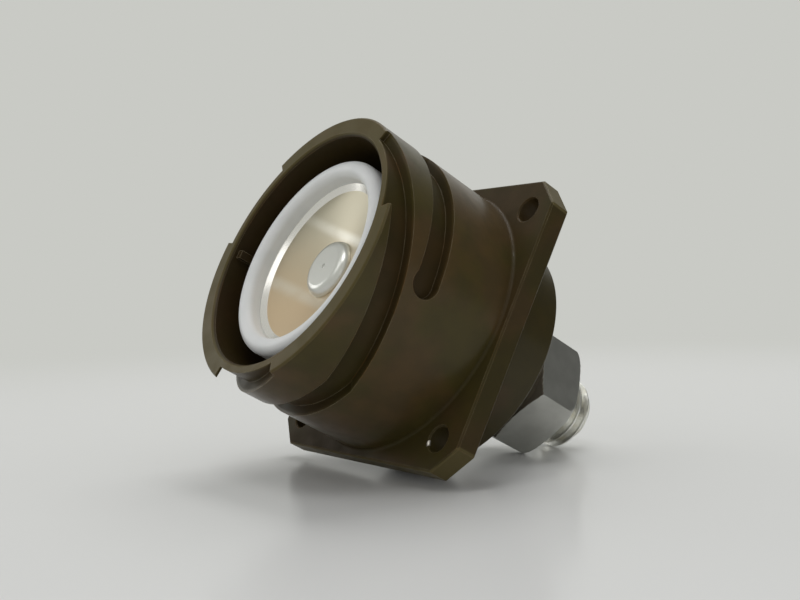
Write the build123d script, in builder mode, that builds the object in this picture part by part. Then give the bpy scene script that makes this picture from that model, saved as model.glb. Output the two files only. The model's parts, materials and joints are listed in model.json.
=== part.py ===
from build123d import *
import os
from math import radians, tan

# Panel-mounting receptacle of a single-pole circular connector, in millimetres.
# The panel seats on z = 0, the flange's rear face. The mating end looks along +Z and the
# terminal stud runs along -Z. The flange's sides run along X and Y, and the key is at +Y.

os.makedirs("parts", exist_ok=True)

# Flange: its margin is what stands past the barrel on each side
flange_margin = 1.65
flange_thickness = 4.5
flange_corner_leg = 5.0
flange_edge_break = 0.35
hole_inset = 6.3
hole_diameter = 5.0
hole_edge_break = 0.25

# Barrel in front of the flange
barrel_diameter = 56.7
barrel_height = 30.7
barrel_wall = 3.95
channel_width = 3.5
foot_fillet = 0.6
rim_edge_break = 0.35
bore_mouth_chamfer = 0.6

# Boss behind the flange, through the panel's cut-out, and the web between its two bores
boss_length = 11.5
boss_wall = 2.95
boss_edge_break = 0.5
web_thickness = 4.5
web_seat_width = 1.65

# Bayonet grooves, for the pins of a coupling ring
groove_count = 3
groove_width = 5.3
groove_depth = 2.15
entry_span = 41.0
entry_depth = 1.1
first_entry_angle = -54.6
ramp_lead = 42.0
ramp_end_angle = -89.0
lock_lead = 8.5
lock_angle = -158.8
pocket_diameter = 5.7
pocket_offset = 0.15

# Polarising key in the bore
key_angle = 90.0
key_width = 1.7
key_height = 1.3
key_setback = 1.5

# Insulators
sleeve_wall = 3.55
sleeve_setback = 2.7
shoulder_clearance = 0.15
shoulder_thickness = 3.0
rear_plate_thickness = 4.0
neck_diameter = 25.0
neck_length = 3.8
insulator_edge_break = 0.4

# Contact disc, its centre tip and the terminal stud
disc_setback = 3.45
disc_thickness = 8.0
lip_width = 1.3
lip_drop = 0.75
dish_drop = 2.6
hub_diameter = 24.0
hub_length = 4.0
tip_head_diameter = 12.0
tip_face_diameter = 8.4
tip_head_height = 1.7
tip_foot_height = 0.15
tip_side_bulge = 0.3
tip_shank_diameter = 8.0
tip_engagement = 5.0
centre_mark_diameter = 0.9
shank_diameter = 18.0
stud_diameter = 15.9
stud_end_chamfer = 1.2
stud_projection = 10.1

# Seals: each is drawn as it lies squeezed in its groove
gasket_thickness = 1.6
seal_section = 2.0
seal_squeeze = 0.25
seal_corner = 0.7
seal_groove_play = 0.3

# Retention of the insulators in the boss
backing_washer_thickness = 1.0
backing_washer_play = 1.5
ring_thickness = 1.5
ring_groove_depth = 1.1
ring_width = 2.6
ring_gap = 11.0
ring_lug_diameter = 4.6
ring_lug_hole = 2.0
dowel_diameter = 2.4
dowel_count = 2
stud_key_diameter = 2.0
stud_key_length = 7.0

# Clamping set and terminal nut
clamp_washer_diameter = 24.0
clamp_washer_thickness = 1.5
disc_spring_diameter = 23.0
disc_spring_thickness = 0.9
disc_spring_rise = 0.4
clamp_nut_flats = 24.0
clamp_nut_thickness = 3.5
lug_space = 4.5
terminal_nut_flats = 24.7
terminal_nut_thickness = 11.3
terminal_nut_turn = 17.7
nut_chamfer_angle = 30.0
nut_chamfer_start = 0.97
nut_countersink = 0.8

# Clearances: round fits on the radius, slack on the faces of loose parts
fit_clearance = 0.05
slack = 0.1

# Heights that follow from the sizes above
rim_z = flange_thickness + barrel_height
web_front_z = web_thickness
gasket_front_z = web_front_z + gasket_thickness
sleeve_front_z = rim_z - sleeve_setback
disc_front_z = sleeve_front_z - disc_setback
dish_edge_z = disc_front_z - lip_drop
dish_floor_z = dish_edge_z - dish_drop
disc_rear_z = disc_front_z - disc_thickness
hub_rear_z = disc_rear_z - hub_length
shoulder_rear_z = -shoulder_thickness
rear_plate_z = shoulder_rear_z - rear_plate_thickness
backing_rear_z = rear_plate_z - backing_washer_thickness
ring_rear_z = backing_rear_z - ring_thickness
neck_rear_z = rear_plate_z - neck_length
clamp_washer_rear_z = neck_rear_z - clamp_washer_thickness
disc_spring_height = disc_spring_thickness + disc_spring_rise
clamp_nut_front_z = clamp_washer_rear_z - 2 * disc_spring_height
clamp_nut_rear_z = clamp_nut_front_z - clamp_nut_thickness
terminal_nut_front_z = clamp_nut_rear_z - lug_space
terminal_nut_rear_z = terminal_nut_front_z - terminal_nut_thickness
stud_end_z = terminal_nut_rear_z - stud_projection

# Radii that follow from the sizes above
barrel_radius = barrel_diameter / 2
groove_floor_radius = barrel_radius - groove_depth
bore_radius = barrel_radius - barrel_wall
sleeve_radius = bore_radius - channel_width
web_radius = sleeve_radius + fit_clearance
rear_bore_radius = web_radius + web_seat_width
boss_radius = rear_bore_radius + boss_wall
shoulder_radius = rear_bore_radius - shoulder_clearance
well_radius = sleeve_radius - sleeve_wall
disc_radius = well_radius - fit_clearance
dish_radius = disc_radius - lip_width
hub_radius = hub_diameter / 2
tip_head_radius = tip_head_diameter / 2
tip_face_radius = tip_face_diameter / 2
tip_shank_radius = tip_shank_diameter / 2
shank_radius = shank_diameter / 2
stud_radius = stud_diameter / 2
thread_bore_radius = stud_radius + fit_clearance
ring_groove_radius = rear_bore_radius + ring_groove_depth

# The flange's square and the square of its holes
flange_side = barrel_diameter + 2 * flange_margin
hole_spacing = flange_side - 2 * hole_inset

# Seal grooves: the sleeve's lies inside the web, the shank's inside the front insulator
seal_height = seal_section - seal_squeeze
seal_width = seal_section + seal_squeeze
shell_seal_z = web_thickness / 2
shell_seal_floor = web_radius - seal_height
stud_seal_z = (hub_rear_z + shoulder_rear_z) / 2
stud_seal_top = shank_radius + fit_clearance
stud_seal_floor = stud_seal_top - seal_height


def climb(lead, turn):
    """Height that a helix of this lead climbs over a turn in degrees."""
    return lead * turn / 360


# Bayonet grooves. Each runs from its locking pocket, deep in the barrel, up a shallow
# locking helix and then a steep ramp to an entry notch in the rim. The cutters are made
# on the X axis and turned to their places on the barrel.
lock_turn = ramp_end_angle - lock_angle
ramp_turn = entry_span / 2 - ramp_end_angle
ramp_top_z = rim_z - entry_depth + groove_width / 2
ramp_foot_z = ramp_top_z - climb(ramp_lead, ramp_turn)
lock_foot_z = ramp_foot_z - climb(lock_lead, lock_turn)
pocket_z = lock_foot_z + pocket_offset
cutter_depth = 3 * groove_depth
core_length = 4 * rim_z


def groove_core():
    """Round core that every groove cutter stops at, so that all floors lie on one cylinder."""
    with BuildPart() as core:
        Cylinder(groove_floor_radius, core_length)
    return core.part


def helical_cutter(lead, turn, foot_z):
    """Groove with radial walls along a right-hand helix that starts on the X axis."""
    with BuildPart() as cutter:
        with BuildLine(Plane.XY.offset(foot_z)) as path:
            Helix(lead, climb(lead, turn), barrel_radius)
        with BuildSketch(Plane.XZ):
            with Locations((barrel_radius, foot_z)):
                Rectangle(cutter_depth, groove_width)
        sweep(path=path.line, is_frenet=True)
        add(groove_core(), mode=Mode.SUBTRACT)
    return cutter.part


def radial_cutter(diameter, centre_z):
    """Round pocket milled towards the axis."""
    with BuildPart() as cutter:
        with BuildSketch(Plane.YZ):
            with Locations((0, centre_z)):
                Circle(diameter / 2)
        extrude(amount=barrel_radius + groove_depth)
        add(groove_core(), mode=Mode.SUBTRACT)
    return cutter.part


def entry_cutter():
    """Square side of the notch in the rim where a coupling pin drops in. The ramp makes the other."""
    with BuildPart() as cutter:
        with BuildSketch(Plane.XZ):
            with Locations((groove_floor_radius, rim_z - entry_depth)):
                Rectangle(cutter_depth, 2 * entry_depth, align=(Align.MIN, Align.MIN))
        revolve(axis=Axis.Z, revolution_arc=entry_span / 2)
    return cutter.part


lock_cut = helical_cutter(lock_lead, lock_turn, lock_foot_z)
ramp_cut = helical_cutter(ramp_lead, ramp_turn, ramp_foot_z)
groove_cuts = [
    (lock_angle, lock_cut),
    (ramp_end_angle, ramp_cut),
    (ramp_end_angle, radial_cutter(groove_width, ramp_foot_z)),
    (lock_angle, radial_cutter(pocket_diameter, pocket_z)),
    (-entry_span / 2, entry_cutter()),
]

with BuildPart() as shell:
    # Square mounting flange with its corners cut off.
    with BuildSketch():
        outline = Rectangle(flange_side, flange_side)
        chamfer(outline.vertices(), flange_corner_leg)
        Circle(bore_radius, mode=Mode.SUBTRACT)
    extrude(amount=flange_thickness)
    # Barrel, web and boss are turned in one piece with the flange.
    with BuildSketch(Plane.XZ):
        with BuildLine():
            Polyline(
                (rear_bore_radius, -boss_length),
                (boss_radius, -boss_length),
                (boss_radius, flange_thickness / 2),
                (barrel_radius, flange_thickness / 2),
                (barrel_radius, rim_z),
                (bore_radius, rim_z),
                (bore_radius, web_front_z),
                (web_radius, web_front_z),
                (web_radius, 0),
                (rear_bore_radius, 0),
                close=True,
            )
        make_face()
    revolve(axis=Axis.Z)
    rings = shell.edges().filter_by(GeomType.CIRCLE)
    foot = rings.filter_by_position(Axis.Z, flange_thickness, flange_thickness)
    fillet(foot.filter_by(lambda edge: edge.radius == barrel_radius), foot_fillet)
    rim = shell.edges().filter_by(GeomType.CIRCLE).group_by(Axis.Z)[-1].sort_by(SortBy.RADIUS)
    chamfer(rim[-1], rim_edge_break)
    chamfer(rim[0], bore_mouth_chamfer)
    boss_end = shell.edges().filter_by(GeomType.CIRCLE).group_by(Axis.Z)[0]
    chamfer(boss_end, boss_edge_break)
    flange_edges = shell.edges().filter_by(GeomType.LINE)
    chamfer(flange_edges.filter_by(Plane.XY), flange_edge_break)
    # Four mounting holes.
    with BuildSketch():
        with GridLocations(hole_spacing, hole_spacing, 2, 2):
            Circle(hole_diameter / 2)
    extrude(amount=flange_thickness, mode=Mode.SUBTRACT)
    hole_rims = shell.edges().filter_by(GeomType.CIRCLE)
    chamfer(hole_rims.filter_by(lambda edge: edge.radius == hole_diameter / 2), hole_edge_break)
    # Groove for the retaining ring.
    with BuildSketch(Plane.XZ):
        with Locations((rear_bore_radius, backing_rear_z)):
            Rectangle(ring_groove_depth, ring_thickness + slack, align=(Align.MIN, Align.MAX))
    revolve(axis=Axis.Z, mode=Mode.SUBTRACT)
    # Half-round seats of the locking dowels, drilled from the rear along the bore's wall.
    with BuildSketch(Plane.XY.offset(-boss_length)):
        with PolarLocations(rear_bore_radius, dowel_count):
            Circle(dowel_diameter / 2 + fit_clearance)
    extrude(amount=boss_length, mode=Mode.SUBTRACT)
    # Bayonet grooves and entry notches.
    for angle, cut in groove_cuts:
        with PolarLocations(0, groove_count, start_angle=first_entry_angle + angle):
            add(cut, mode=Mode.SUBTRACT)
    # Polarising key, rooted in the bore's wall and stopped short of rim and gasket.
    key_root = (groove_floor_radius - bore_radius) / 2
    with BuildSketch(Plane.XY.offset(gasket_front_z + slack)):
        with PolarLocations(bore_radius + key_root, 1, start_angle=key_angle):
            Rectangle(key_height + key_root, key_width, align=(Align.MAX, Align.CENTER))
    extrude(amount=rim_z - key_setback - gasket_front_z - slack)

with BuildPart() as face_insulator:
    # White sleeve with a round nose around the contact disc, and a shoulder behind the web.
    nose_z = sleeve_front_z - sleeve_wall / 2
    nose_radius = (sleeve_radius + well_radius) / 2
    with BuildSketch(Plane.XZ):
        with BuildLine():
            Polyline(
                (well_radius, nose_z),
                (well_radius, disc_rear_z),
                (hub_radius + fit_clearance, disc_rear_z),
                (hub_radius + fit_clearance, hub_rear_z),
                (stud_seal_top, hub_rear_z),
                (stud_seal_top, shoulder_rear_z),
                (shoulder_radius, shoulder_rear_z),
                (shoulder_radius, 0),
                (sleeve_radius, 0),
                (sleeve_radius, nose_z),
            )
            ThreePointArc(
                (sleeve_radius, nose_z), (nose_radius, sleeve_front_z), (well_radius, nose_z)
            )
        make_face()
    revolve(axis=Axis.Z)
    with BuildSketch(Plane.XZ):
        with Locations((shell_seal_floor, shell_seal_z)):
            Rectangle(
                seal_height, seal_width + seal_groove_play, align=(Align.MIN, Align.CENTER)
            )
    revolve(axis=Axis.Z, mode=Mode.SUBTRACT)
    with BuildSketch(Plane.XY.offset(shoulder_rear_z)):
        with PolarLocations(rear_bore_radius, dowel_count):
            Circle(dowel_diameter / 2 + fit_clearance)
    extrude(amount=shoulder_thickness, mode=Mode.SUBTRACT)

with BuildPart() as rear_insulator:
    # Rear plate against the shoulder, with a neck around the shank.
    with BuildSketch(Plane.XZ):
        with BuildLine():
            Polyline(
                (stud_seal_top, shoulder_rear_z),
                (shoulder_radius, shoulder_rear_z),
                (shoulder_radius, rear_plate_z),
                (neck_diameter / 2, rear_plate_z),
                (neck_diameter / 2, neck_rear_z),
                (stud_seal_top, neck_rear_z),
                close=True,
            )
        make_face()
    revolve(axis=Axis.Z)
    neck_end = rear_insulator.edges().filter_by(GeomType.CIRCLE).group_by(Axis.Z)[0]
    chamfer(neck_end.sort_by(SortBy.RADIUS)[-1], insulator_edge_break)
    with BuildSketch(Plane.XY.offset(rear_plate_z)):
        with PolarLocations(rear_bore_radius, dowel_count):
            Circle(dowel_diameter / 2 + fit_clearance)
    extrude(amount=rear_plate_thickness, mode=Mode.SUBTRACT)
    with BuildSketch(Plane.XY.offset(neck_rear_z)):
        with Locations((0, shank_radius)):
            Circle(stud_key_diameter / 2 + fit_clearance)
    extrude(amount=stud_key_length + slack, mode=Mode.SUBTRACT)

with BuildPart() as contact_disc:
    # Turned disc: a bright bevelled lip, a shallow dish and a hub towards the stud.
    with BuildSketch(Plane.XZ):
        with BuildLine():
            Polyline(
                (tip_shank_radius + fit_clearance, dish_floor_z),
                (tip_head_radius, dish_floor_z),
                (dish_radius, dish_edge_z),
                (disc_radius, disc_front_z),
                (disc_radius, disc_rear_z),
                (hub_radius, disc_rear_z),
                (hub_radius, hub_rear_z),
                (tip_shank_radius + fit_clearance, hub_rear_z),
                close=True,
            )
        make_face()
    revolve(axis=Axis.Z)

with BuildPart() as contact_tip:
    # Headed pin through the disc into the stud; its flat-faced head is the button in the dish.
    tip_foot_z = dish_floor_z + tip_foot_height
    tip_face_z = dish_floor_z + tip_head_height
    side_middle_radius = (tip_head_radius + tip_face_radius) / 2 + tip_side_bulge
    side_middle_z = (tip_foot_z + tip_face_z) / 2 + tip_side_bulge
    with BuildSketch(Plane.XZ):
        with BuildLine():
            Polyline(
                (tip_face_radius, tip_face_z),
                (0, tip_face_z),
                (0, dish_floor_z),
                (tip_head_radius, dish_floor_z),
                (tip_head_radius, tip_foot_z),
            )
            ThreePointArc(
                (tip_head_radius, tip_foot_z),
                (side_middle_radius, side_middle_z),
                (tip_face_radius, tip_face_z),
            )
        make_face()
    revolve(axis=Axis.Z)
    with BuildSketch(Plane.XY.offset(hub_rear_z - tip_engagement)):
        Circle(tip_shank_radius)
    extrude(amount=dish_floor_z - hub_rear_z + tip_engagement)
    with BuildSketch(Plane.XZ):
        with Locations((0, tip_face_z)):
            Circle(centre_mark_diameter / 2)
        split(bisect_by=Plane.YZ)
    revolve(axis=Axis.Z, mode=Mode.SUBTRACT)

with BuildPart() as terminal_stud:
    # Plain shank through the insulators, then the thread's full diameter to the end.
    with BuildSketch(Plane.XY.offset(neck_rear_z)):
        Circle(shank_radius)
    extrude(amount=hub_rear_z - neck_rear_z)
    with BuildSketch(Plane.XY.offset(neck_rear_z)):
        Circle(stud_radius)
    extrude(amount=stud_end_z - neck_rear_z)
    chamfer(terminal_stud.edges().group_by(Axis.Z)[0], stud_end_chamfer)
    with BuildSketch(Plane.XY.offset(hub_rear_z)):
        Circle(tip_shank_radius + fit_clearance)
    extrude(amount=-(tip_engagement + slack), mode=Mode.SUBTRACT)
    with BuildSketch(Plane.XZ):
        with Locations((stud_seal_floor, stud_seal_z)):
            Rectangle(
                seal_height, seal_width + seal_groove_play, align=(Align.MIN, Align.CENTER)
            )
    revolve(axis=Axis.Z, mode=Mode.SUBTRACT)
    with BuildSketch(Plane.XY.offset(neck_rear_z)):
        with Locations((0, shank_radius)):
            Circle(stud_key_diameter / 2 + fit_clearance)
    extrude(amount=stud_key_length + slack, mode=Mode.SUBTRACT)

with BuildPart() as channel_gasket:
    # Flat rubber ring at the bottom of the channel, for the plug's edge to seal on.
    with BuildSketch(Plane.XY.offset(web_front_z)):
        Circle(bore_radius - slack)
        Circle(sleeve_radius + slack, mode=Mode.SUBTRACT)
    extrude(amount=gasket_thickness)


def squeezed_seal(inner_radius, centre_z):
    """Rubber ring with a round section pressed flat between its groove and its bore."""
    with BuildPart() as seal:
        with BuildSketch(Plane.XZ):
            with Locations((inner_radius + seal_height / 2, centre_z)):
                RectangleRounded(seal_height, seal_width, seal_corner)
        revolve(axis=Axis.Z)
    return seal


shell_seal = squeezed_seal(shell_seal_floor, shell_seal_z)
stud_seal = squeezed_seal(stud_seal_floor, stud_seal_z)

with BuildPart() as backing_washer:
    # Steel ring that spreads the retaining ring's load over the rear insulator.
    with BuildSketch(Plane.XY.offset(backing_rear_z)):
        Circle(rear_bore_radius - slack)
        Circle(neck_diameter / 2 + backing_washer_play, mode=Mode.SUBTRACT)
    extrude(amount=backing_washer_thickness)

with BuildPart() as retaining_ring:
    # Internal ring sprung into the boss's groove, with a plier hole in each lug.
    ring_inner_radius = ring_groove_radius - ring_width
    lug_radius = rear_bore_radius - slack - ring_lug_diameter / 2
    lug_x = (ring_gap + ring_lug_diameter) / 2
    lug_y = (lug_radius**2 - lug_x**2) ** 0.5
    with BuildSketch(Plane.XY.offset(ring_rear_z)):
        Circle(ring_groove_radius)
        Circle(ring_inner_radius, mode=Mode.SUBTRACT)
        with Locations((0, ring_inner_radius)):
            Rectangle(ring_gap, 3 * ring_width, mode=Mode.SUBTRACT)
        with Locations((-lug_x, lug_y), (lug_x, lug_y)):
            Circle(ring_lug_diameter / 2)
            Circle(ring_lug_hole / 2, mode=Mode.SUBTRACT)
    extrude(amount=ring_thickness)

with BuildPart() as locking_dowels:
    # Pins half in the boss and half in the insulators, which stop them turning.
    with BuildSketch(Plane.XY.offset(rear_plate_z)):
        with PolarLocations(rear_bore_radius, dowel_count):
            Circle(dowel_diameter / 2)
    extrude(amount=shoulder_thickness + rear_plate_thickness)

with BuildPart() as stud_key:
    # Pin half in the shank and half in the neck, which stops the stud turning.
    with BuildSketch(Plane.XY.offset(neck_rear_z)):
        with Locations((0, shank_radius)):
            Circle(stud_key_diameter / 2)
    extrude(amount=stud_key_length)

with BuildPart() as clamp_washer:
    with BuildSketch(Plane.XY.offset(clamp_washer_rear_z)):
        Circle(clamp_washer_diameter / 2)
        Circle(thread_bore_radius, mode=Mode.SUBTRACT)
    extrude(amount=clamp_washer_thickness)

with BuildPart() as disc_springs:
    # Two coned washers, rim to rim, which keep the insulators clamped as they creep.
    rim_plane_z = clamp_washer_rear_z - disc_spring_height
    with BuildSketch(Plane.XZ):
        with BuildLine():
            Polyline(
                (thread_bore_radius, clamp_washer_rear_z),
                (disc_spring_diameter / 2, clamp_washer_rear_z - disc_spring_rise),
                (disc_spring_diameter / 2, rim_plane_z),
                (thread_bore_radius, rim_plane_z + disc_spring_rise),
                close=True,
            )
        make_face()
    revolve(axis=Axis.Z)
    mirror(about=Plane.XY.offset(rim_plane_z))


def hex_nut(flats, front_z, thickness, turn):
    """Hexagon nut, chamfered at both ends and bored to the thread's diameter."""
    with BuildPart() as nut:
        with BuildSketch(Plane.XY.offset(front_z)):
            RegularPolygon(flats / 2, 6, major_radius=False, rotation=turn)
        extrude(amount=-thickness)
        corner_radius = flats / 3**0.5
        cone_radius = nut_chamfer_start * flats / 2
        cone_height = (corner_radius - cone_radius) * tan(radians(nut_chamfer_angle))
        for end_z, inward in ((front_z, -1), (front_z - thickness, 1)):
            with BuildSketch(Plane.XZ):
                with BuildLine():
                    Polyline(
                        (cone_radius, end_z),
                        (corner_radius, end_z),
                        (corner_radius, end_z + inward * cone_height),
                        close=True,
                    )
                make_face()
            revolve(axis=Axis.Z, mode=Mode.SUBTRACT)
        with BuildSketch(Plane.XY.offset(front_z)):
            Circle(thread_bore_radius)
        extrude(amount=-thickness, mode=Mode.SUBTRACT)
        bore_ends = nut.edges().filter_by(GeomType.CIRCLE)
        bore_ends = bore_ends.filter_by(lambda edge: edge.radius == thread_bore_radius)
        chamfer(bore_ends, nut_countersink)
    return nut


clamp_nut = hex_nut(clamp_nut_flats, clamp_nut_front_z, clamp_nut_thickness, 0)
terminal_nut = hex_nut(
    terminal_nut_flats, terminal_nut_front_z, terminal_nut_thickness, terminal_nut_turn
)

pieces = {
    "shell": shell,
    "face_insulator": face_insulator,
    "rear_insulator": rear_insulator,
    "contact_disc": contact_disc,
    "contact_tip": contact_tip,
    "terminal_stud": terminal_stud,
    "channel_gasket": channel_gasket,
    "shell_seal": shell_seal,
    "stud_seal": stud_seal,
    "backing_washer": backing_washer,
    "retaining_ring": retaining_ring,
    "locking_dowels": locking_dowels,
    "stud_key": stud_key,
    "clamp_washer": clamp_washer,
    "disc_springs": disc_springs,
    "clamp_nut": clamp_nut,
    "terminal_nut": terminal_nut,
}
for name, piece in pieces.items():
    piece.part.label = name
    export_step(piece.part, f"parts/{name}.step")
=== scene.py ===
# %% [markdown]
# # A square-flange power receptacle on a pale table
#
# The real object is a panel connector: an olive drab alloy shell with bayonet grooves, a white
# insulating sleeve, a turned and silver-plated contact in its middle, and a threaded stud with
# a dark nut behind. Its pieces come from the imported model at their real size, so this lesson
# is mostly about finishes, light and the camera. Two shapes are new: the stud's thread and the
# rounded corners of its nut.

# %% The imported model
import json
from math import atan2, cos, degrees, pi, radians, sin, sqrt

import bmesh
import bpy
from mathutils import Matrix, Vector


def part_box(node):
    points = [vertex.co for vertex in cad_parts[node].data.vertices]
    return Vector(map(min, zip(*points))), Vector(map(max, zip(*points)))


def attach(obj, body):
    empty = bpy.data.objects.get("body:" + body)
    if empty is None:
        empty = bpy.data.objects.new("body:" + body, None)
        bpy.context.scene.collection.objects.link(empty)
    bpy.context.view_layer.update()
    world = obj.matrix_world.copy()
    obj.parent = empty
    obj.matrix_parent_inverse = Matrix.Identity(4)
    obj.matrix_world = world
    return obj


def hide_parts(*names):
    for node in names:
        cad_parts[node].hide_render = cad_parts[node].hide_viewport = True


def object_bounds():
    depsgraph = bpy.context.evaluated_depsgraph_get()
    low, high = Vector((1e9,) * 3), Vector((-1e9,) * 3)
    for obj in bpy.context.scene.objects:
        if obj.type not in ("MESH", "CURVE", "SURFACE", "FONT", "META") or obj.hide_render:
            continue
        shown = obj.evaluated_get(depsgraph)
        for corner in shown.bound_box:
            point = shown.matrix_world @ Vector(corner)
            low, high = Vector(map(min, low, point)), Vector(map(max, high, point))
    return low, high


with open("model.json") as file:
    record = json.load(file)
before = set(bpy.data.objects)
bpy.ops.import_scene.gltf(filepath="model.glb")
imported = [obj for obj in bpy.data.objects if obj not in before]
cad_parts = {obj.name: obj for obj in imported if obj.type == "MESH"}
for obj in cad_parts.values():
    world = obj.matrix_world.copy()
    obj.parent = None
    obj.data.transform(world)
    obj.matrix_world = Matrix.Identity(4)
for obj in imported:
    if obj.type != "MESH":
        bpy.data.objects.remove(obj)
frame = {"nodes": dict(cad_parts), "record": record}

MM = 0.001
nodes = frame["nodes"]
cad_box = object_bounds()
cad_box_mm = [round(c / MM, 1) for corner in cad_box for c in corner]
print("pieces:", len(nodes), "box in mm:", cad_box_mm)

# %% [markdown]
# ## Arithmetic on shader sockets
#
# A material's maths is easier to read as a formula than as a web of nodes. A small class wraps
# an output socket and gives it Python's operators, and each operator adds one Math node.


# %% A socket that does arithmetic
class Wire:
    """An output socket that +, -, *, / and ** work on, also with a number on its left."""

    def __init__(self, finish, socket):
        self.finish = finish
        self.socket = socket

    def math(self, operation, *terms):
        return self.finish.add("ShaderNodeMath", {"operation": operation}, dict(enumerate(terms)))

    def __add__(self, other):
        return self.math("ADD", self, other)

    def __radd__(self, other):
        return self.math("ADD", other, self)

    def __sub__(self, other):
        return self.math("SUBTRACT", self, other)

    def __rsub__(self, other):
        return self.math("SUBTRACT", other, self)

    def __mul__(self, other):
        return self.math("MULTIPLY", self, other)

    def __rmul__(self, other):
        return self.math("MULTIPLY", other, self)

    def __truediv__(self, other):
        return self.math("DIVIDE", self, other)

    def __pow__(self, other):
        return self.math("POWER", self, other)

    def size(self):
        return self.math("ABSOLUTE", self)

    def larger(self, other):
        return self.math("MAXIMUM", self, other)

    def ramp(self, start, end, low=0.0, high=1.0):
        """Low up to start, high past end, and a smooth rise between them."""
        settings = {"interpolation_type": "SMOOTHSTEP"}
        inputs = {0: self, 1: start, 2: end, 3: low, 4: high}
        return self.finish.add("ShaderNodeMapRange", settings, inputs)


# %% [markdown]
# ## One way to make every node
#
# `Finish` holds a node tree. Its `add` takes a node's type, its settings, and the values or
# links of its sockets, so every finish below is a list of short calls. The patterns all read
# Object coordinates, which here are the real object's own metres, so a grain of half a
# millimetre is written as half a millimetre.


# %% A finish and its patterns
class Finish:
    """A material's node tree, with the few patterns that these surfaces are made of."""

    def __init__(self, name, tree=None):
        if tree is None:
            self.material = bpy.data.materials.new(name)
            self.material.use_nodes = True
            tree = self.material.node_tree
        self.tree = tree
        self.tree.nodes.clear()

    def add(self, kind, settings=None, inputs=None, output=0):
        """A node of this kind, with its settings set first and then its sockets."""
        node = self.tree.nodes.new(kind)
        for name, value in (settings or {}).items():
            setattr(node, name, value)
        for key, value in (inputs or {}).items():
            if isinstance(value, Wire):
                self.tree.links.new(value.socket, node.inputs[key])
            else:
                node.inputs[key].default_value = value
        return Wire(self, node.outputs[output]) if node.outputs else node

    def vector_math(self, operation, first, second):
        """Number that a Vector Math node works out from two vectors."""
        settings = {"operation": operation}
        return self.add("ShaderNodeVectorMath", settings, {0: first, 1: second}, "Value")

    def place(self):
        """The point on the piece, in metres."""
        return self.add("ShaderNodeTexCoord", output="Object")

    def along(self, axis):
        """Coordinate of the point on this axis, in metres."""
        return self.add("ShaderNodeSeparateXYZ", None, {0: self.place()}, axis)

    def axis_distance(self):
        """Distance of the point from the connector's axis, in metres."""
        x = self.along("X")
        y = self.along("Y")
        return (x * x + y * y) ** 0.5

    def noise(self, size, detail=2.0):
        """Cloudy pattern from 0 to 1 whose blotches are about this size in metres."""
        inputs = {"Vector": self.place(), "Scale": 1 / size, "Detail": detail}
        return self.add("ShaderNodeTexNoise", None, inputs)

    def turning(self, spacing, detail=2.0):
        """Marks of a turning tool: rings on faces and cylinders alike, unevenly spaced."""
        radius = self.axis_distance()
        inputs = {"W": radius + self.along("Z"), "Scale": 1 / spacing, "Detail": detail}
        marks = self.add("ShaderNodeTexNoise", {"noise_dimensions": "1D"}, inputs)
        return marks * radius.ramp(0.3 * MM, 1.5 * MM)

    def mix(self, share, first, second):
        """First colour where share is 0, second where it is 1."""
        inputs = {"Factor": share, 6: first, 7: second}
        return self.add("ShaderNodeMix", {"data_type": "RGBA"}, inputs, 2)

    def rounded(self, radius):
        """Normal as if every edge had this radius."""
        return self.add("ShaderNodeBevel", {"samples": 4}, {"Radius": radius})

    def edge(self, soft):
        """Mask of the edges, where a rounded normal turns away from the face's own."""
        sharp = self.add("ShaderNodeNewGeometry", output="Normal")
        return (1 - self.vector_math("DOT_PRODUCT", soft, sharp)).ramp(0.01, 0.25)

    def bump(self, height, depth, normal=None):
        """Relief of this depth in metres over the given normal."""
        inputs = {"Height": height, "Distance": depth, "Strength": 1.0}
        if normal is not None:
            inputs["Normal"] = normal
        return self.add("ShaderNodeBump", None, inputs)

    def surface(self, **sockets):
        """Principled shader with these sockets, written with _ for a space, as the output."""
        inputs = {name.replace("_", " "): value for name, value in sockets.items()}
        shader = self.add("ShaderNodeBsdfPrincipled", None, inputs)
        self.add("ShaderNodeOutputMaterial", None, {"Surface": shader})
        return self.material


# %% [markdown]
# ## Where the shell's look changes
#
# The shell is one piece of metal, but its faces don't all look the same. A mask is a number
# between 0 and 1 over the surface, and the place on the piece is enough to make one: the
# grooves lie inside the barrel's radius, the flange's front lies at one height, and so on.


# %% Masks on the shell
def hole_nick(x, y, height):
    """Mask of the small nick on the rim of the flange's lower hole, an ellipse."""
    nick_x, nick_y = -24.8 * MM, -21.34 * MM
    half_length, half_width = 0.75 * MM, 0.38 * MM
    across = (x - nick_x) / half_length
    aside = (y - nick_y) / half_width
    spot = 1 - (across * across + aside * aside).ramp(0.5, 1.0)
    return spot * height.ramp(3.8 * MM, 4.4 * MM)


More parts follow.
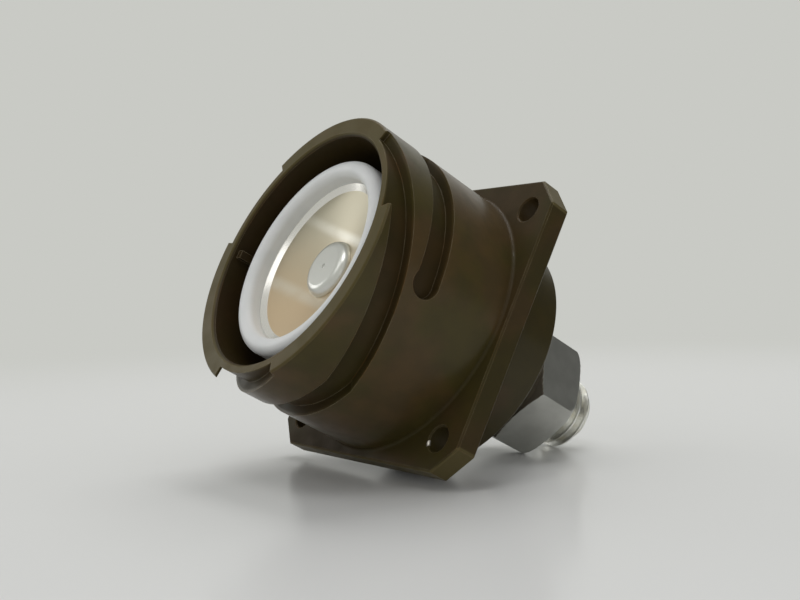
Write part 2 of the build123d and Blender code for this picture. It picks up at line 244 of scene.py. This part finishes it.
def shell_zones(finish):
    """Masks for the faces of the shell that look different from each other."""
    flange_front = 4.5 * MM
    barrel_radius = 28.35 * MM
    bore_radius = 25.0 * MM
    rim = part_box("shell")[1].z
    x = finish.along("X")
    y = finish.along("Y")
    height = finish.along("Z")
    radius = finish.axis_distance()

    rim_face = height.ramp(rim - 0.5 * MM, rim - 0.1 * MM)
    barrel = height.ramp(flange_front + 0.3 * MM, flange_front + 0.8 * MM)
    sunk = (barrel_radius - radius).ramp(0.3 * MM, 0.8 * MM) * (1 - rim_face)
    bore = (bore_radius - radius).ramp(0, 0.4 * MM) * (1 - rim_face)
    boss = 1 - height.ramp(-0.8 * MM, 0)
    turned = (barrel * (1 - rim_face) * (1 - sunk)).larger(boss)

    front = height.ramp(flange_front - 0.1 * MM, flange_front - 0.05 * MM) * (1 - barrel)
    # the lower part of the flange's front, which gets painted shade and a duller finish
    low_front = front * (1 - x.ramp(-30 * MM, -20 * MM)) * y.ramp(-12 * MM, 4 * MM)
    cut_corners = radius.ramp(38.6 * MM, 38.8 * MM)
    lower_side = 1 - x.ramp(-29.9 * MM, -29.7 * MM)
    return {
        "rim_face": rim_face,
        # painted shade: a little darker on the flange and the boss, darkest in the grooves and the
        # bore
        "painted_shade": 0.3 + barrel * (0.4 * sunk - 0.3),
        "bore": bore,
        "turned": turned,
        "low_front": low_front,
        # painted light on the flange's cut corners and lower side
        "painted_light_corners_and_side": cut_corners.larger(lower_side),
        "nick": hole_nick(x, y, height),
    }


# %% [markdown]
# ## Olive drab alloy
#
# The shell is turned and milled from aluminium and then given an olive drab conversion finish.
# It is satin. Painted shade makes it nearly black in the grooves and the bore, and a little darker
# on the flange and the boss. Up close it is uneven: patches lean to brown or to green, the tool
# left faint rings, and the edges are paler, partly from wear where a little warm metal shows and
# partly as a painted highlight. The rim's front face has painted light, so have the flange's cut
# corners and lower side, its front has painted shade low down and is duller there, and the nick
# by one hole is bare metal.
#
# The turned barrel and boss have a thin gloss that shows where they turn away from the eye. A
# coat with a low IOR does that: it reflects little face on and much at a grazing angle.


# %% Shell finish
def olive_drab_alloy():
    finish = Finish("olive_drab_alloy")
    zones = shell_zones(finish)
    green = (0.064, 0.050, 0.0135, 1)
    brown = (0.082, 0.051, 0.019, 1)
    shade = (0.040, 0.032, 0.012, 1)
    black = (0.012, 0.008, 0.003, 1)
    bore_shade_red_black = (0.020, 0.009, 0.003, 1)
    # pale olive for painted light on the rim face and on the flange's cut corners and lower side
    painted_light_olive = (0.110, 0.088, 0.035, 1)
    amber = (0.180, 0.085, 0.020, 1)
    worn_and_lit_edge = (0.400, 0.330, 0.210, 1)
    bare = (0.75, 0.71, 0.65, 1)

    patches = finish.noise(16 * MM, detail=3).ramp(0.4, 0.6)
    clouds = finish.noise(5 * MM, detail=4).ramp(0.3, 0.7)
    colour = finish.mix(patches, green, brown)
    colour = finish.mix(clouds * 0.4, colour, shade)
    # painted shade: darkest in the grooves and the bore, lighter on the flange and the boss
    colour = finish.mix(zones["painted_shade"], colour, black)
    # painted shade in the bore, deeper and a little redder
    colour = finish.mix(0.5 * zones["bore"], colour, bore_shade_red_black)
    # painted light: the rim's front face is lighter
    colour = finish.mix(0.6 * zones["rim_face"], colour, painted_light_olive)
    # painted shade low on the flange's front, where the barrel shades it
    colour = finish.mix(0.4 * zones["low_front"], colour, black)
    # painted light on the flange's cut corners and lower side
    colour = finish.mix(0.8 * zones["painted_light_corners_and_side"], colour, painted_light_olive)

    edge_normal = finish.rounded(0.25 * MM)
    edge = finish.edge(edge_normal)
    edge_wear_and_highlight = finish.noise(3 * MM).ramp(0.3, 0.8, 0.3, 0.8)
    stained = finish.noise(7 * MM).ramp(0.52, 0.62)
    # paler edges: wear where a little warm metal shows, and partly a painted highlight
    colour = finish.mix(edge * edge_wear_and_highlight, colour, worn_and_lit_edge)
    colour = finish.mix(edge * stained, colour, amber)
    colour = finish.mix(zones["nick"], colour, bare)

    rings = finish.turning(0.5 * MM)
    grain = finish.noise(0.12 * MM, detail=2)
    return finish.surface(
        Base_Color=colour,
        Metallic=zones["nick"],
        Roughness=0.34 + 0.12 * clouds + 0.2 * zones["low_front"],
        Specular_IOR_Level=0.11,
        Coat_Weight=0.45 * zones["turned"],
        Coat_Roughness=0.22,
        Coat_IOR=1.35,
        Normal=finish.bump(rings * 0.7 + grain * 0.3, 0.006 * MM, edge_normal),
    )


# %% [markdown]
# ## White fluoropolymer
#
# The sleeve and the rear insulator are turned from a white fluoropolymer. It is milky rather
# than chalky, so light goes a little way in: a small constant subsurface share does that. Its
# surface is smooth with a soft sheen, and the tool's rings hardly show.


# %% Insulator finish
def white_fluoropolymer():
    finish = Finish("white_fluoropolymer")
    edge_normal = finish.rounded(0.2 * MM)
    clouds = finish.noise(6 * MM, detail=3).ramp(0.3, 0.7)
    return finish.surface(
        Base_Color=finish.mix(clouds, (0.79, 0.80, 0.79, 1), (0.75, 0.765, 0.76, 1)),
        Roughness=0.38 + 0.08 * clouds,
        Subsurface_Weight=0.25,
        Subsurface_Scale=1.5 * MM,
        Subsurface_Radius=(1.0, 1.0, 1.0),
        Normal=finish.bump(finish.turning(0.35 * MM), 0.002 * MM, edge_normal),
    )


# %% [markdown]
# ## Turned silver plate
#
# The contact disc is copper alloy with a warm silver plate over fine turning marks. Marks that
# run round the axis spread a highlight along the radius. The Principled shader's Anisotropic
# value does the same: with no tangent linked it takes the direction round the object's own
# axis. The bevelled lip is cooler and brighter than the dish. The dish is warmer on its lower
# side, and two straight paler bands beside the tip are painted highlights.


# %% Contact finish
def painted_highlight_bands(finish):
    """Share of a painted highlight along two straight bands beside the tip, broken up by noise."""
    x = finish.along("X")
    y = finish.along("Y")
    beside_tip = 1 - (x - 0.268 * y - 7.3 * MM).size().ramp(0.2 * MM, 1.7 * MM)
    below_tip = 1 - (x - 0.21 * y + 6.9 * MM).size().ramp(0.2 * MM, 2.2 * MM)
    band_breakup = finish.noise(4 * MM, detail=3).ramp(0.2, 0.6, 0.6, 1.0)
    fading = y.ramp(-8 * MM, 13 * MM, 0.8, 0.35)
    return (beside_tip * fading + 0.4 * below_tip) * band_breakup


def turned_silver_plate():
    finish = Finish("turned_silver_plate")
    lip_width = 1.3 * MM
    dish_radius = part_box("contact_disc")[1].x - lip_width
    lip = finish.axis_distance().ramp(dish_radius - 0.05 * MM, dish_radius + 0.05 * MM)
    upper = finish.along("X") + 4 * MM * finish.noise(5 * MM, detail=2)
    colour = finish.mix(
        upper.ramp(-10 * MM, 14 * MM), (0.74, 0.58, 0.39, 1), (0.55, 0.51, 0.40, 1)
    )
    # painted highlight: two straight paler bands beside the tip
    colour = finish.mix(painted_highlight_bands(finish), colour, (0.88, 0.86, 0.78, 1))
    colour = finish.mix(lip, colour, (0.83, 0.81, 0.77, 1))
    rings = finish.turning(0.18 * MM, detail=3)
    return finish.surface(
        Base_Color=colour,
        Metallic=1.0,
        Roughness=0.40 - 0.20 * lip + 0.06 * (rings - 0.5),
        Anisotropic=0.35,
        Normal=finish.bump(rings, 0.0012 * MM),
    )


# %% [markdown]
# ## Bright silver plate
#
# The stud and the tip in the dish are plated and smooth, dulled by a thin uneven tarnish. The
# stud is bright and a little warm. The tip is darker and more matt.


# %% Stud and tip finish
def bright_silver_plate():
    finish = Finish("bright_silver_plate")
    edge_normal = finish.rounded(0.15 * MM)
    tip = finish.along("Z").ramp(0, MM)
    tarnish = finish.noise(2.5 * MM, detail=2).ramp(0.4, 0.75) * (1 - 0.7 * tip)
    colour = finish.mix(tarnish, (0.90, 0.90, 0.86, 1), (0.84, 0.81, 0.70, 1))
    return finish.surface(
        Base_Color=finish.mix(tip, colour, (0.67, 0.675, 0.64, 1)),
        Metallic=0.9,
        Roughness=0.18 + 0.08 * tarnish + 0.13 * tip,
        Normal=finish.bump(finish.turning(0.12 * MM), 0.0015 * MM, edge_normal),
    )


# %% [markdown]
# ## Dark and dull steels, spring steel and rubber
#
# The terminal nut is a matt grey with a fine grain, and its faces towards the shell carry a brown
# painted shade. The fasteners that the boss hides are dull plated steel, the springs are dark and
# oiled, and the seals are matt black rubber. One function makes the three steels.


# %% Nut, steel and rubber finishes
def grained_steel(name, dark, light, roughness, depth, shell_side_shade=False):
    """Steel with cloudy colour and a fine blasted grain of this depth."""
    finish = Finish(name)
    edge_normal = finish.rounded(0.18 * MM)
    grain = finish.noise(0.16 * MM, detail=3)
    clouds = finish.noise(4 * MM, detail=3).ramp(0.3, 0.7)
    colour = finish.mix(clouds * 0.6 + grain * 0.4, dark, light)
    if shell_side_shade:
        # painted shade, in a brown tone, on the faces that look towards the shell
        facing = finish.add("ShaderNodeNewGeometry", output="Normal")
        towards_shell = finish.add("ShaderNodeSeparateXYZ", None, {0: facing}, "Z")
        colour = finish.mix(towards_shell.ramp(0.3, 0.6), colour, (0.20, 0.17, 0.13, 1))
    return finish.surface(
        Base_Color=colour,
        Metallic=1.0,
        Roughness=roughness + 0.1 * (grain - 0.5),
        Normal=finish.bump(grain, depth, edge_normal),
    )


def seal_rubber():
    finish = Finish("seal_rubber")
    bloom = finish.noise(1.5 * MM, detail=3).ramp(0.4, 0.8)
    return finish.surface(
        Base_Color=finish.mix(bloom, (0.018, 0.018, 0.018, 1), (0.035, 0.034, 0.032, 1)),
        Roughness=0.62 + 0.1 * bloom,
        Normal=finish.bump(finish.noise(0.2 * MM), 0.01 * MM),
    )


# %% All the finishes
finishes = {
    "olive_drab_alloy": olive_drab_alloy(),
    "white_fluoropolymer": white_fluoropolymer(),
    "turned_silver_plate": turned_silver_plate(),
    "bright_silver_plate": bright_silver_plate(),
    "dark_grey_nut": grained_steel(
        "dark_grey_nut", (0.47, 0.47, 0.44, 1), (0.60, 0.60, 0.565, 1), 0.45, 0.006 * MM,
        shell_side_shade=True,
    ),
    "plated_steel": grained_steel(
        "plated_steel", (0.36, 0.36, 0.35, 1), (0.46, 0.46, 0.45, 1), 0.38, 0.003 * MM
    ),
    "spring_steel": grained_steel(
        "spring_steel", (0.05, 0.05, 0.055, 1), (0.09, 0.09, 0.095, 1), 0.35, 0.002 * MM
    ),
    "seal_rubber": seal_rubber(),
}
for name, material in finishes.items():
    print(name, "has", len(material.node_tree.nodes), "nodes")

# %% [markdown]
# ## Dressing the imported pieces
#
# The record says which material slot each piece takes its finish from, so a loop gives every
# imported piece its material.

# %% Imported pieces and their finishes
slots = {part["node"]: part["material_slot"] for part in frame["record"]["subparts"]}
for name, piece in nodes.items():
    piece.data.materials.clear()
    piece.data.materials.append(finishes[slots[name]])
print("dressed:", len(slots), "pieces in", len(set(slots.values())), "finishes")


# %% [markdown]
# ## Turning a blank
#
# A lathe makes a round piece from one outline, and Blender's spin does the same to a row of
# edges. The outline runs from axis to axis for a solid rod, or closes on itself for a ring.


# %% Lathe, and how a piece is finished
def lathe(bm, outline, steps, ring=False):
    """Solid of revolution from (radius, height) points: from axis to axis, or a closed ring."""
    points = [bm.verts.new((radius, 0, height)) for radius, height in outline]
    following = points[1:] + points[:1] if ring else points[1:]
    edges = [bm.edges.new(pair) for pair in zip(points, following)]
    bmesh.ops.spin(
        bm, geom=points + edges, cent=(0, 0, 0), axis=(0, 0, 1), dvec=(0, 0, 0),
        angle=2 * pi, steps=steps, use_merge=True, use_duplicate=False,
    )


def finished_piece(bm, name, slot, replaced):
    """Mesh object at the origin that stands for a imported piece."""
    bmesh.ops.recalc_face_normals(bm, faces=bm.faces)
    mesh = bpy.data.meshes.new(name)
    bm.to_mesh(mesh)
    bm.free()
    mesh.materials.append(finishes[slot])
    piece = bpy.data.objects.new(name, mesh)
    bpy.context.scene.collection.objects.link(piece)
    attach(piece, "root")
    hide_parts(replaced)
    return piece


# %% [markdown]
# ## The threaded stud
#
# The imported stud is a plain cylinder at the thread's full diameter. The real one has a coarse
# unified thread: a vee of 60 degrees with a narrow flat at its crest and its root. A spin that
# also climbs sweeps one pitch of that outline into a helix, and neighbouring turns share their
# edges. Two cuts square off its ends, and the last millimetre is turned down to a cone.


# %% A helical thread from one pitch of its outline
def threaded_rod(bm, top, end, major, pitch, steps):
    """Rod with an outside thread from height top down to height end."""
    depth = 0.61 * pitch
    minor = major - depth
    crest = pitch / 8
    root = pitch / 5
    outline = [
        (major, 0),
        (major, crest / 2),
        (minor, pitch / 2 - root / 2),
        (minor, pitch / 2 + root / 2),
        (major, pitch - crest / 2),
        (major, pitch),
    ]
    turns = int((top - end) / pitch) + 3
    points = [bm.verts.new((radius, 0, end - pitch + height)) for radius, height in outline]
    edges = [bm.edges.new(pair) for pair in zip(points, points[1:])]
    bmesh.ops.spin(
        bm, geom=points + edges, cent=(0, 0, 0), axis=(0, 0, 1), dvec=(0, 0, pitch / steps),
        angle=2 * pi * turns, steps=steps * turns, use_merge=False, use_duplicate=False,
    )
    bmesh.ops.remove_doubles(bm, verts=bm.verts, dist=pitch / 500)


def cut_level(bm, height, outward, clear):
    """Cut through the whole mesh at this height, and clear what lies outward of it."""
    bmesh.ops.bisect_plane(
        bm, geom=bm.verts[:] + bm.edges[:] + bm.faces[:], dist=1e-7,
        plane_co=(0, 0, height), plane_no=(0, 0, outward), clear_outer=clear,
    )


# %% The stud
thread_pitch = 2.309 * MM
thread_radius = 7.95 * MM
thread_steps = 64
end_chamfer = 1.1 * MM
stud_low, stud_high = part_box("terminal_stud")
stud_end = stud_low.z
neck_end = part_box("rear_insulator")[0].z
thread_top = neck_end + 1.0 * MM

bm = bmesh.new()
threaded_rod(bm, thread_top, stud_end, thread_radius, thread_pitch, thread_steps)
cut_level(bm, thread_top, 1, True)
cut_level(bm, stud_end, -1, True)
cut_level(bm, stud_end + end_chamfer, 1, False)
for vert in bm.verts:
    cone = thread_radius - end_chamfer + (vert.co.z - stud_end)
    radius = vert.co.xy.length
    if radius > cone:
        vert.co.xy *= cone / radius
bmesh.ops.holes_fill(bm, edges=[edge for edge in bm.edges if edge.is_boundary], sides=0)
shank_radius = stud_high.x
shank = [(0, neck_end), (shank_radius, neck_end), (shank_radius, stud_high.z), (0, stud_high.z)]
lathe(bm, shank, thread_steps)
stud = finished_piece(bm, "threaded_stud", "bright_silver_plate", "terminal_stud")
turns = (thread_top - stud_end) / thread_pitch
print("thread turns:", round(turns, 1), "faces:", len(stud.data.polygons))

# %% [markdown]
# ## The terminal nut
#
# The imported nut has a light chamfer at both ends, but the real one's corners are clearly rounded
# off at its far end. It is made the way a shop makes it. A round blank with a rounded shoulder
# is turned first, and then six flats are milled on it: every vertex that stands proud of a flat
# is pushed back onto it.


# %% A nut turned and then milled
def nut_outline(top, end, corner, bore):
    """Half section of the blank: a cone at the lug's end and a rounded far shoulder."""
    countersink = 0.8 * MM
    shoulder = 2.2 * MM
    cone_width = 1.9 * MM
    cone_drop = 0.9 * MM
    outline = [(bore, end + countersink), (bore, top - countersink), (bore + countersink, top)]
    for share in (0, 0.2, 0.4, 0.6, 0.8, 1):
        outline.append((corner - cone_width * (1 - share), top - cone_drop * share))
    for turn in range(90, -1, -10):
        inward = shoulder * (1 - sin(radians(turn)))
        rise = shoulder * (1 - cos(radians(turn)))
        outline.append((corner - inward, end + rise))
    outline.append((bore + countersink, end))
    return outline


def mill_flats(bm, width, corner_angle):
    """Push every vertex that stands proud of one of six flats back onto it."""
    for side in range(6):
        facing = corner_angle + radians(30 + 60 * side)
        outward = Vector((cos(facing), sin(facing), 0))
        for vert in bm.verts:
            proud = vert.co.dot(outward) - width / 2
            if proud > 0:
                vert.co -= proud * outward


# %% The nut
nut_width = 24.7 * MM
steps_per_flat = 24
nut_low, nut_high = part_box("terminal_nut")
packed_vertices = nodes["terminal_nut"].data.vertices
farthest = max(packed_vertices, key=lambda vertex: vertex.co.xy.length).co
corner_angle = atan2(farthest.y, farthest.x)

bm = bmesh.new()
lathe(
    bm, nut_outline(nut_high.z, nut_low.z, nut_width / sqrt(3), thread_radius),
    6 * steps_per_flat, ring=True,
)
turn = Matrix.Rotation(corner_angle, 3, "Z")
bmesh.ops.rotate(bm, verts=bm.verts, cent=(0, 0, 0), matrix=turn)
mill_flats(bm, nut_width, corner_angle)
nut = finished_piece(bm, "milled_terminal_nut", "dark_grey_nut", "terminal_nut")
print("nut corner at", round(degrees(corner_angle), 1), "degrees, faces:", len(nut.data.polygons))

# %% [markdown]
# ## How the connector rests
#
# It lies on the edge of its boss, a corner of its nut and the end of its stud. So in its own
# frame the table is a tilted plane that touches all three, and the flange's lower edge stands
# about a millimetre and a half off it, with light getting in under it. The plane's direction is
# given, and the lowest vertex along that direction says how far down the plane lies.

# %% The plane under the connector
table_up = Vector((0.878, -0.006, 0.480)).normalized()
lowest = {}
for name, piece in (("shell", nodes["shell"]), ("nut", nut), ("stud", stud)):
    places = (vertex.co for vertex in piece.data.vertices)
    lowest[name] = min(places, key=table_up.dot).copy()
resting_point = min(lowest.values(), key=table_up.dot)
for name, place in lowest.items():
    gap = (place - resting_point).dot(table_up)
    print(name, "stands", round(gap / MM, 3), "mm over the table")

# %% [markdown]
# ## The table and the backdrop
#
# Near the object the table is pale paper, a little glossy, that takes its shadow. Further off
# it glows with the backdrop's colour, so no horizon shows. From below it is clear, and so it
# hides nothing when the camera goes round the back.


# %% Table
def paper(finish):
    """Pale paper near the object that turns into the backdrop's own colour far from it."""
    far = finish.vector_math("DISTANCE", finish.place(), resting_point)
    coat = {"Base Color": (0.74, 0.745, 0.73, 1), "Roughness": 0.2, "Specular IOR Level": 0.11}
    sheet = finish.add("ShaderNodeBsdfPrincipled", None, coat)
    glow = finish.add("ShaderNodeEmission", None, {"Color": backdrop})
    far_share = far.ramp(150 * MM, 420 * MM)
    shown = finish.add("ShaderNodeMixShader", None, {0: far_share, 1: sheet, 2: glow})
    clear = finish.add("ShaderNodeBsdfTransparent")
    behind = finish.add("ShaderNodeNewGeometry", output="Backfacing")
    both = finish.add("ShaderNodeMixShader", None, {0: behind, 1: shown, 2: clear})
    finish.add("ShaderNodeOutputMaterial", None, {"Surface": both})
    return finish.material


backdrop = (0.584, 0.591, 0.558, 1)
table_size = 6.0
just_under = resting_point - 0.02 * MM * table_up
bm = bmesh.new()
bmesh.ops.create_grid(bm, x_segments=1, y_segments=1, size=table_size / 2)
turn = Vector((0, 0, 1)).rotation_difference(table_up).to_matrix()
bmesh.ops.rotate(bm, verts=bm.verts, cent=(0, 0, 0), matrix=turn)
bmesh.ops.translate(bm, verts=bm.verts, vec=just_under)
mesh = bpy.data.meshes.new("table")
bm.to_mesh(mesh)
bm.free()
mesh.materials.append(paper(Finish("pale_paper")))
table = bpy.data.objects.new("table", mesh)
bpy.context.scene.collection.objects.link(table)
print("table:", table_size, "m wide, its up direction", [round(c, 4) for c in table_up])

# %% [markdown]
# ## Where the camera stood
#
# The camera's place and focal length come from fitting the flange's corners, its holes and the
# barrel's circles to the photograph. It stood about 4 cm above the table and 23 cm away, and
# its own up direction is within two degrees of the table's. The lamps' directions are measured
# from the camera's side, so this comes before them.

# %% Directions of the picture
centre = Vector((0, 0, 5 * MM))
camera_place = Vector((-56.80, -183.54, 124.67)) * MM
camera_aim = Vector((2.111, -0.680, 8.723)) * MM
picture_up = Vector((0.89069, 0, 0.45462)).normalized()
towards_camera = (camera_place - camera_aim).normalized()
camera_right = picture_up.cross(towards_camera).normalized()
level_back = picture_up.cross(camera_right)
camera_height = (camera_place - resting_point).dot(table_up)
lean = degrees(picture_up.angle(table_up))
print("camera height:", round(camera_height / MM), "mm, leaning by", round(lean, 1), "degrees")

# %% [markdown]
# ## Soft studio light
#
# Five soft boxes light the object. The strongest stands high behind it and lights its upper
# side. One hangs over the camera and lights the flange's front. Two on the left give the
# barrel and the sleeve their soft highlights, and a weak one low in front opens the shade.
#
# The world adds an even fill. Camera, glossy and transmission rays see the backdrop's colour,
# so the polished metal mirrors the same pale room that the camera sees. The photograph's room
# is dim on the right, which keeps the barrel's right side and the nut dark, so glossy rays find
# the backdrop dimmer there.


# %% World
def world_light(level):
    """Even fill of this level, with the backdrop for the rays that see it."""
    world = bpy.data.worlds.new("pale_room")
    world.use_nodes = True
    bpy.context.scene.world = world
    room = Finish("pale_room", world.node_tree)
    camera_ray, glossy_ray, clear_ray = (
        room.add("ShaderNodeLightPath", output=ray)
        for ray in ("Is Camera Ray", "Is Glossy Ray", "Is Transmission Ray")
    )
    direction = room.add("ShaderNodeTexCoord", output="Generated")
    rightward = room.vector_math("DOT_PRODUCT", direction, camera_right)
    upward = room.vector_math("DOT_PRODUCT", direction, picture_up)
    dim = rightward.ramp(0.35, 0.75) * (1 - upward.ramp(0.45, 0.8)) * glossy_ray
    fill = room.add("ShaderNodeBackground", None, {"Color": (level, level, level, 1)})
    shown = room.add("ShaderNodeBackground", None, {"Color": backdrop, "Strength": 1 - 0.9 * dim})
    seen = camera_ray.larger(glossy_ray).larger(clear_ray)
    both = room.add("ShaderNodeMixShader", None, {0: seen, 1: fill, 2: shown})
    room.add("ShaderNodeOutputWorld", None, {"Surface": both})


fill_level = 0.48
world_light(fill_level)
print("fill light:", fill_level)


# %% Lamps
def seen_from_object(azimuth, elevation):
    """Place of a lamp in this direction: azimuth 0 is straight back, 90 to the picture's right."""
    level = sin(radians(azimuth)) * camera_right + cos(radians(azimuth)) * level_back
    direction = cos(radians(elevation)) * level + sin(radians(elevation)) * picture_up
    return centre + lamp_distance * direction


def soft_box(name, place, size, power):
    """Square area lamp of this size in metres that looks from its place to the object."""
    lamp = bpy.data.lights.new(name, "AREA")
    lamp.shape = "SQUARE"
    lamp.size = size
    lamp.energy = power
    box = bpy.data.objects.new(name, lamp)
    box.location = place
    box.rotation_mode = "QUATERNION"
    box.rotation_quaternion = (centre - place).to_track_quat("-Z", "Y")
    bpy.context.scene.collection.objects.link(box)


lamp_distance = 0.85
# Name, azimuth and elevation in degrees, size in metres, power in watts.
lamps = (
    ("key", 20, 62, 0.5, 2.4),
    ("overhead", -155, 68, 0.3, 0.9),
    ("left_high", -123, 42, 0.35, 0.34),
    ("left_low", -64, 15, 0.25, 0.34),
    ("front_low", 172, 8, 0.3, 0.12),
)
for name, azimuth, elevation, size, power in lamps:
    soft_box(name, seen_from_object(azimuth, elevation), size, power)
    print(name, "lamp:", power, "watts from azimuth", azimuth, "and elevation", elevation)

# %% [markdown]
# ## The camera
#
# Its sensor is 36 mm wide, and the fitted focal length is close to 50 mm. Depth of field stays
# off, so every view of the object is sharp.

# %% Camera
lens = bpy.data.cameras.new("camera")
lens.sensor_width = 36
lens.lens = 50.334
lens.clip_start = 0.01
lens.clip_end = 50
camera = bpy.data.objects.new("camera", lens)
camera_up = towards_camera.cross(camera_right)
camera.matrix_world = Matrix((camera_right, camera_up, towards_camera)).transposed().to_4x4()
camera.location = camera_place
bpy.context.scene.collection.objects.link(camera)
bpy.context.scene.camera = camera
bpy.context.scene.view_settings.view_transform = "Standard"
print("camera:", round((camera_place - centre).length / MM), "mm from the object")
